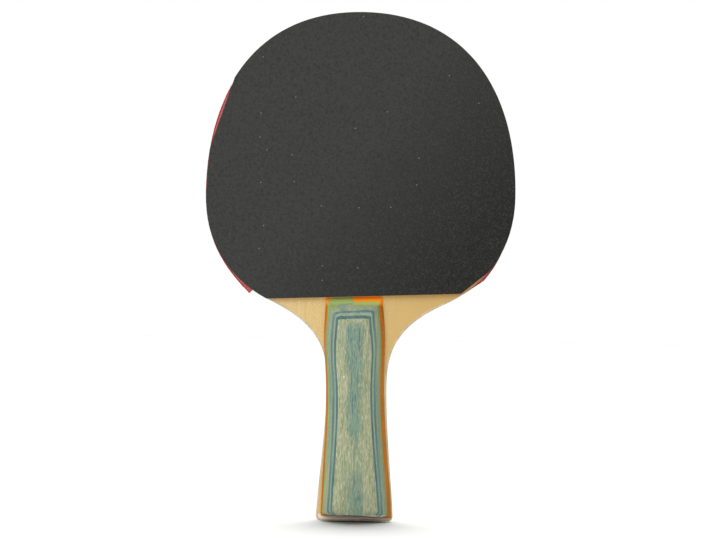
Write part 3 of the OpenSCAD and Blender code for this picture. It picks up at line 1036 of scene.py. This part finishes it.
@dataclass
class HandleScale:
    """One side of the handle: eight veneers glued flat and sanded round, so that each shows as a
    contour line. Its sizes are those of the CAD scale, and its heights are read off the nodes."""

    side: Side
    length: float
    skew: float
    lift: float
    lean: float
    shift: float
    end_slopes: tuple[float, float]
    corner_dip: float = 0.0
    green_end: tuple[float, float] = (0.0, 0.0)
    pivot_z: float = 46 * MM
    end_w: float = 34.3 * MM
    waist_w: float = 28.0 * MM
    finger_w: float = 29.5 * MM
    top_w: float = 27.5 * MM
    ramp_l: float = 16.5 * MM
    end_round_l: float = 1.6 * MM
    ridge_gap: float = 0.1 * MM
    side_power: float = 1.7
    corner_r: float = 0.6 * MM
    corner_growth: float = 0.35
    top_corner_growth: float = 0.14
    top_shifts: tuple[float, ...] = (0.0,) * 9
    low_shifts: tuple[float, ...] = (0.0,) * 9
    corner_dip_r: float = 4.5 * MM
    # a joint's waves, each as its height in mm and its size: everywhere, and two more at the ends
    long_wave: tuple[float, float] = (0.07, 26 * MM)
    end_waves: tuple[tuple[float, float], ...] = ((0.13, 3.4 * MM), (0.07, 1.1 * MM))
    # heights of the first joint in the ramp, where the green veneer lies over the orange one and
    # beside it, and how far the second joint drops beyond, over how long a stretch
    green_over: float = 0.06 * MM
    green_beside: float = 0.9 * MM
    green_drop: float = 1.3 * MM
    green_fade: float = 4 * MM
    least_veneer: float = 0.04 * MM
    ridge_rim: float = 0.3 * MM
    crease: float = 60.0
    layer: float = 0.16 * MM
    side_step: float = 0.7 * MM
    end_step: float = 0.35 * MM

    def __post_init__(self) -> None:
        """Reads the veneer heights off the CAD nodes and lays out the points of a contour."""
        self.foot = depths(self.node("orange"), self.side)[0]
        self.heights = [0.0] + [abs(depths(self.node(n), self.side)[1] - self.foot) for n in LAYERS]
        self.ridge_h = self.heights[-1] + self.ridge_gap
        self.shares, self.half_widths = self.width_table()
        arc = np.radians(np.linspace(-90, 0, 8))
        up = np.arange(1, round(self.length / self.side_step)) / round(self.length / self.side_step)
        over = np.linspace(1, -1, round(self.top_w / self.end_step))[1:-1]
        rows = [(1, 0, math.cos(a), math.sin(a)) for a in arc]
        rows += [(1, u, 1, 0) for u in up]
        rows += [(1, 1, math.cos(a), math.sin(a)) for a in -arc[::-1]]
        rows += [(f, 1, 0, 1) for f in over]
        rows += [(-1, 1, math.cos(a), math.sin(a)) for a in -arc]
        rows += [(-1, u, 1, 0) for u in up[::-1]]
        rows += [(-1, 0, math.cos(a), math.sin(a)) for a in arc[::-1]]
        rows += [(-f, 0, 0, -1) for f in over]
        self.sign, self.share, self.cos, self.sin = np.array(rows, float).T

    def node(self, layer: str) -> str:
        """The CAD node of one veneer."""
        return f"{self.side.prefix}_scale_{layer}_veneer"

    def width_table(self) -> tuple[np.ndarray, np.ndarray]:
        """Shares of the length and the half widths there, along three cubic curves.

        Returns:
            The shares, and the half width at each.
        """
        end, waist, finger, top = self.end_w, self.waist_w, self.finger_w, self.top_w
        runs = (((end, 0.0), (end - 1.8 * MM, 0.19), (waist, 0.38), (waist, 0.6)),
                ((waist, 0.6), (waist, 0.69), (finger, 0.74), (finger, 0.82)),
                ((finger, 0.82), (finger, 0.9), (top, 0.95), (top, 1.0)))
        t = np.linspace(0, 1, 40)[:, None]
        table = np.concatenate([
            (1 - t) ** 3 * np.array(a) + 3 * (1 - t) ** 2 * t * np.array(b)
            + 3 * (1 - t) * t * t * np.array(c) + t**3 * np.array(d) for a, b, c, d in runs])
        return table[:, 1], table[:, 0] / 2

    def contour(self, height: np.ndarray) -> Loop:
        """The sanded surface at a height above the blade, which may differ from point to point.

        Args:
            height: The height at each point of the contour.

        Returns:
            The points, in the scale's own X and Z.
        """
        high = np.clip(height / self.ridge_h, 0, 1)
        side_fall = 1 - np.sqrt(1 - high**self.side_power)
        end_fall = 1 - np.sqrt(1 - high)
        inset = self.waist_w / 2 * side_fall
        start = self.end_round_l * end_fall
        stop = self.length - self.ramp_l * end_fall
        most = (self.top_w / 2 - inset) * 0.8
        r_low = np.minimum(self.corner_r + self.corner_growth * inset, most)
        r_top = np.minimum(self.corner_r + self.top_corner_growth * inset, most)
        r = np.where(self.share > 0.5, r_top, r_low)
        width = np.interp(self.share, self.shares, self.half_widths)
        lean = -self.lean * np.minimum(1, height / self.heights[1])
        x = self.sign * (width - inset - r + r * self.cos) + lean
        z = start + r_low + (stop - start - r_low - r_top) * self.share + r * self.sin
        up = z / self.length
        return np.stack([x, z + x * (self.end_slopes[0] * (1 - up) + self.end_slopes[1] * up)], axis=1)

    def placed(self, flat: Loop, height: np.ndarray) -> np.ndarray:
        """Turns points of the scale's own X and Z by its skew and puts them at their heights.

        Args:
            flat: The points.
            height: The height of each above the blade.

        Returns:
            The points in the CAD frame.
        """
        x, z = flat[:, 0], flat[:, 1] + self.lift - self.pivot_z
        cos, sin = math.cos(self.skew), math.sin(self.skew)
        turned = np.stack([x * cos + z * sin - self.shift, -x * sin + z * cos + self.pivot_z], axis=1)
        return ring_at(turned, self.foot + self.side.value * height)

    def joint(self, n: int) -> np.ndarray:
        """The glue joint under a veneer, flat but for small waves, which the sloping ramp turns into
        ragged lines.

        Args:
            n: The number of the veneer, from 0 for the lowest.

        Returns:
            The height of the joint at each point of the contour.
        """
        height = np.full(len(self.sign), self.heights[n])
        if n in (0, len(LAYERS)):
            return height
        flat = self.contour(height)
        ends = np.abs(self.sin) > 0.7
        (rise, size), (small, fine) = self.end_waves
        for i, (x, z) in enumerate(flat):
            wave = self.long_wave[0] * rough(x, n * 0.02, z, self.long_wave[1])
            if ends[i]:
                wave += rise * rough(x, n * 0.02, 0.0, size) + small * rough(x, n * 0.02, 0.5, fine)
            height[i] += wave * MM
        # the joints lie otherwise at the two ends than along the sides
        height += self.top_shifts[n] * np.where(self.share == 1, np.maximum(self.sin, 0), 0)
        height += self.low_shifts[n] * np.where(self.share == 0, np.maximum(-self.sin, 0), 0)
        if n >= 2 and self.corner_dip:
            away = np.hypot(flat[:, 0] + self.top_w / 2, flat[:, 1] - self.length)
            height += self.corner_dip * np.exp(-0.5 * (away / self.corner_dip_r) ** 2)
        if n <= 2 and self.green_end != (0.0, 0.0):
            over = (self.share == 1) & (self.cos == 0)
            start, stop = self.green_end
            hidden = over & (flat[:, 0] > start) & (flat[:, 0] < stop)
            if n == 1:
                height[hidden] = self.green_over
                height[over & (flat[:, 0] <= start)] = self.green_beside
            else:
                beyond = np.clip((flat[over, 0] - start) / self.green_fade, 0, 1)
                height[over] -= self.green_drop * beyond * hidden[over]
        return height

    def build(self) -> list[bpy.types.Object]:
        """Builds the veneers between their joints.

        Returns:
            The pieces, the lowest veneer first.
        """
        pieces = []
        joints = [self.joint(n) for n in range(len(LAYERS) + 1)]
        for n in range(len(LAYERS) - 1, 0, -1):
            joints[n] = np.minimum(joints[n], joints[n + 1] - self.least_veneer)
        for n, layer in enumerate(LAYERS):
            low, high = joints[n], joints[n + 1]
            steps = max(2, round(float(np.max(high - low)) / self.layer))
            rings = []
            for k in range(steps + 1):
                height = low + (high - low) * k / steps
                rings.append(self.placed(self.contour(height), height))
            creases = (0, -1)
            if layer == "ridge":
                flat = self.contour(high)
                rings.append(self.placed(flat + inward(flat) * self.ridge_rim, high))
                creases = (0,)
            solid = Solid().stack(rings, creases=creases)
            name = f"{self.side.prefix}_handle_{layer}_layer"
            slot = layer + "_veneer"
            pieces.append(solid.build(name, [DYED[layer]], slot, self.node(layer), self.crease))
        return pieces


# ---------------------------------------------------------------- the studio


@dataclass
class Studio:
    """A paper floor, even light from all round, one large soft light on the left, which is flagged
    off from the floor, a soft light from overhead for the floor alone, and the camera."""

    aim: tuple[float, float] = (0.3 * MM, 121.7 * MM)
    distance: float = 1.2
    field: float = 346.8 * MM
    sensor: float = 36.0
    roll: float = math.radians(1.1)
    floor_size: float = 6.0
    surround: float = 1.0
    overhead: float = 23.2
    overhead_soft: float = math.radians(34)
    overhead_tilt: float = math.radians(-20)
    key_power: float = 5.0
    key_size: float = 0.5
    key_place: tuple[float, float, float] = (-0.6, -0.75, 0.5)

    def build(self, handle: list[bpy.types.Object]) -> None:
        """Makes the floor, the lights and the camera, for a paddle that stands on its handle.

        Args:
            handle: The pieces whose shadow is drawn on the floor.
        """
        scene = bpy.context.scene
        scene.view_settings.view_transform = "Standard"
        self.lights(scene, self.floor(), handle)
        self.camera(scene)

    def floor(self) -> bpy.types.Object:
        """Lays the paper that the handle's end stands on.

        Returns:
            The floor.
        """
        half = self.floor_size / 2
        mesh = bpy.data.meshes.new("floor")
        corners = [(-half, -half, 0.0), (half, -half, 0.0), (half, half, 0.0), (-half, half, 0.0)]
        mesh.from_pydata(corners, [], [(0, 1, 2, 3)])
        mesh.materials.append(PAPER.material())
        floor = bpy.data.objects.new("floor", mesh)
        bpy.context.scene.collection.objects.link(floor)
        return floor

    @staticmethod
    def aim_at_floor(light: bpy.types.Object, floor: bpy.types.Object, only: bool) -> None:
        """Flags a light so that it falls on the floor only, or on everything else.

        Args:
            light: The light.
            floor: The floor.
            only: True for a light that falls on the floor only.
        """
        taken = bpy.data.collections.new(light.name + "_falls_on")
        taken.objects.link(floor)
        taken.collection_objects[0].light_linking.link_state = "INCLUDE" if only else "EXCLUDE"
        light.light_linking.receiver_collection = taken

    @staticmethod
    def shadow_of(light: bpy.types.Object, pieces: list[bpy.types.Object]) -> None:
        """Lets only some pieces hold a light back, so that its shadow stays where they stand.

        Args:
            light: The light.
            pieces: The pieces that hold it back.
        """
        held = bpy.data.collections.new(light.name + "_held_by")
        for piece in pieces:
            held.objects.link(piece)
        light.light_linking.blocker_collection = held

    def lights(
        self, scene: bpy.types.Scene, floor: bpy.types.Object, handle: list[bpy.types.Object]
    ) -> None:
        """Sets the surround, the soft light from the left and the floor's light from overhead.

        Args:
            scene: The scene to light.
            floor: The floor, which is flagged off from the soft light.
            handle: The pieces whose shadow is drawn on the floor.
        """
        world = bpy.data.worlds.new("surround")
        world.use_nodes = True
        world.node_tree.nodes["Background"].inputs[0].default_value = (1.0, 1.0, 1.0, 1.0)
        world.node_tree.nodes["Background"].inputs[1].default_value = self.surround
        scene.world = world
        light = bpy.data.lights.new("key", "AREA")
        light.energy = self.key_power
        light.size = self.key_size
        key = bpy.data.objects.new("key", light)
        key.location = self.key_place
        aim = Vector((0.0, 0.0, self.aim[1]))
        key.rotation_euler = (aim - key.location).to_track_quat("-Z", "Y").to_euler()
        key.visible_camera = False
        scene.collection.objects.link(key)
        self.aim_at_floor(key, floor, only=False)
        sky = bpy.data.lights.new("overhead", "SUN")
        sky.energy = self.overhead
        sky.angle = self.overhead_soft
        above = bpy.data.objects.new("overhead", sky)
        above.rotation_euler = (self.overhead_tilt, 0.0, 0.0)
        scene.collection.objects.link(above)
        self.aim_at_floor(above, floor, only=True)
        self.shadow_of(above, handle)

    def camera(self, scene: bpy.types.Scene) -> None:
        """Stands the camera level in front of the forehand, tipped so that the paddle leans a little.

        Args:
            scene: The scene that is seen through it.
        """
        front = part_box("front_top_sheet")[0].y
        lens = bpy.data.cameras.new("camera")
        lens.sensor_width = self.sensor
        lens.lens = self.sensor * self.distance / self.field
        lens.clip_start = 0.01
        camera = bpy.data.objects.new("camera", lens)
        camera.location = (self.aim[0], front - self.distance, self.aim[1])
        camera.rotation_euler = (math.pi / 2, -self.roll, 0.0)
        scene.collection.objects.link(camera)
        scene.camera = camera


def main() -> None:
    """Builds the paddle and the studio."""
    logging.basicConfig(level=logging.INFO, format="%(name)s: %(message)s")
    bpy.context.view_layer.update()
    Blade().build()
    Rubber(Side.FOREHAND, BLACK, FRONT_FOAM, GLUE, "black_rubber", scant=0.6 * MM).build()
    Rubber(Side.BACKHAND, RED, BACK_FOAM, PINK_GLUE, "red_rubber").build()
    forehand = HandleScale(
        Side.FOREHAND, length=106.3 * MM, skew=math.radians(-1.55), lift=2.1 * MM, lean=0.45 * MM,
        shift=0.3 * MM, end_slopes=(-0.05, math.tan(math.radians(0.95))), corner_dip=1.4 * MM,
        green_end=(-10.2 * MM, -0.6 * MM), top_shifts=tuple(MM * s for s in RAMP_SHIFTS),
        low_shifts=tuple(MM * s for s in END_SHIFTS),
    ).build()
    backhand = HandleScale(
        Side.BACKHAND, length=111.9 * MM, skew=math.radians(0.4), lift=0.0, lean=0.2 * MM, shift=0.0,
        end_slopes=(math.tan(math.radians(0.4)), math.tan(math.radians(0.7))),
    ).build()
    Studio().build(forehand + backhand)


if __name__ == "__main__":
    main()
